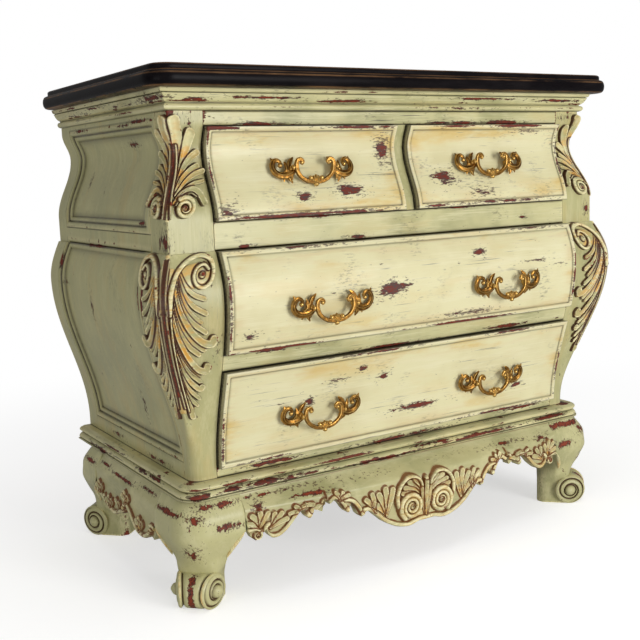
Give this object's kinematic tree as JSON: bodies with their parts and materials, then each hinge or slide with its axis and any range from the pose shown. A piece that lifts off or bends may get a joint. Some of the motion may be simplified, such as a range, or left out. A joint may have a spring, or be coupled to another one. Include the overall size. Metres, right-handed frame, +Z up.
{
  "type": "bombe chest of drawers",
  "caption": "Bombe chest with two small drawers over two wide ones, carved corner leaves, bail handles, a scrolled apron and scroll feet.",
  "frame": {"origin": "on the floor, under the middle of the whole chest", "axes": "+X along the length to the viewer's right, -Y towards the viewer (drawers open that way), +Z up"},
  "size_m": [1.0826, 0.6376, 0.952],
  "materials": {
    "green_paint": "distressed sage green paint, satin",
    "cream_paint": "distressed cream paint, satin",
    "carved_paint": "carved wood in cream green paint with a dark glaze",
    "ebonised_top": "ebonised, rubbed through at the edges",
    "bare_timber": "unpainted timber",
    "aged_brass": "aged cast brass"
  },
  "bodies": {
    "carcass": {"left_front_post": "green_paint", "right_front_post": "green_paint", "left_side_frame": "green_paint", "right_side_frame": "green_paint", "left_side_panel": "green_paint", "right_side_panel": "green_paint", "frieze_rail": "green_paint", "middle_rail": "green_paint", "lower_rail": "green_paint", "bottom_rail": "green_paint", "drawer_partition": "green_paint", "cornice": "green_paint", "base_moulding": "green_paint", "front_apron": "carved_paint", "left_apron": "carved_paint", "right_apron": "carved_paint", "left_front_foot": "carved_paint", "left_rear_foot": "carved_paint", "left_upper_leaf": "carved_paint", "left_lower_leaf": "carved_paint", "right_front_foot": "carved_paint", "right_rear_foot": "carved_paint", "right_upper_leaf": "carved_paint", "right_lower_leaf": "carved_paint", "upper_dust_board": "bare_timber", "lower_dust_board": "bare_timber", "bottom_board": "bare_timber", "back_panel": "bare_timber", "rear_apron": "bare_timber", "top_slab": "ebonised_top"},
    "upper_left_drawer": {"upper_left_drawer_front": "cream_paint", "upper_left_drawer_box": "bare_timber", "upper_left_drawer_bottom": "bare_timber", "upper_left_handle_left_post": "aged_brass", "upper_left_handle_right_post": "aged_brass"},
    "upper_right_drawer": {"upper_right_drawer_front": "cream_paint", "upper_right_drawer_box": "bare_timber", "upper_right_drawer_bottom": "bare_timber", "upper_right_handle_left_post": "aged_brass", "upper_right_handle_right_post": "aged_brass"},
    "middle_drawer": {"middle_drawer_front": "cream_paint", "middle_drawer_box": "bare_timber", "middle_drawer_bottom": "bare_timber", "middle_left_handle_left_post": "aged_brass", "middle_left_handle_right_post": "aged_brass", "middle_right_handle_left_post": "aged_brass", "middle_right_handle_right_post": "aged_brass"},
    "bottom_drawer": {"bottom_drawer_front": "cream_paint", "bottom_drawer_box": "bare_timber", "bottom_drawer_bottom": "bare_timber", "bottom_left_handle_left_post": "aged_brass", "bottom_left_handle_right_post": "aged_brass", "bottom_right_handle_left_post": "aged_brass", "bottom_right_handle_right_post": "aged_brass"},
    "upper_left_bail": {"upper_left_handle_bail": "aged_brass"},
    "upper_right_bail": {"upper_right_handle_bail": "aged_brass"},
    "middle_left_bail": {"middle_left_handle_bail": "aged_brass"},
    "middle_right_bail": {"middle_right_handle_bail": "aged_brass"},
    "bottom_left_bail": {"bottom_left_handle_bail": "aged_brass"},
    "bottom_right_bail": {"bottom_right_handle_bail": "aged_brass"}
  },
  "joints": [
    {"name": "upper_left_drawer_slide", "type": "slide", "parent": "carcass", "child": "upper_left_drawer", "axis": [0, -1, 0], "range_m": [0, 0.32]},
    {"name": "upper_right_drawer_slide", "type": "slide", "parent": "carcass", "child": "upper_right_drawer", "axis": [0, -1, 0], "range_m": [0, 0.32]},
    {"name": "middle_drawer_slide", "type": "slide", "parent": "carcass", "child": "middle_drawer", "axis": [0, -1, 0], "range_m": [0, 0.32]},
    {"name": "bottom_drawer_slide", "type": "slide", "parent": "carcass", "child": "bottom_drawer", "axis": [0, -1, 0], "range_m": [0, 0.32]},
    {"name": "upper_left_bail_hinge", "type": "hinge", "parent": "upper_left_drawer", "child": "upper_left_bail", "pos_m": [-0.21193, -0.25965, 0.77804], "axis": [-1, 0, 0], "range_deg": [-3, 100]},
    {"name": "upper_right_bail_hinge", "type": "hinge", "parent": "upper_right_drawer", "child": "upper_right_bail", "pos_m": [0.21193, -0.25965, 0.77804], "axis": [-1, 0, 0], "range_deg": [-3, 100]},
    {"name": "middle_left_bail_hinge", "type": "hinge", "parent": "middle_drawer", "child": "middle_left_bail", "pos_m": [-0.21193, -0.3123, 0.53156], "axis": [-1, 0, 0], "range_deg": [-20, 100]},
    {"name": "middle_right_bail_hinge", "type": "hinge", "parent": "middle_drawer", "child": "middle_right_bail", "pos_m": [0.21193, -0.3123, 0.53156], "axis": [-1, 0, 0], "range_deg": [-20, 100]},
    {"name": "bottom_left_bail_hinge", "type": "hinge", "parent": "bottom_drawer", "child": "bottom_left_bail", "pos_m": [-0.21193, -0.25973, 0.32333], "axis": [-1, 0, 0], "range_deg": [-20, 100]},
    {"name": "bottom_right_bail_hinge", "type": "hinge", "parent": "bottom_drawer", "child": "bottom_right_bail", "pos_m": [0.21193, -0.25973, 0.32333], "axis": [-1, 0, 0], "range_deg": [-20, 100]}
  ]
}
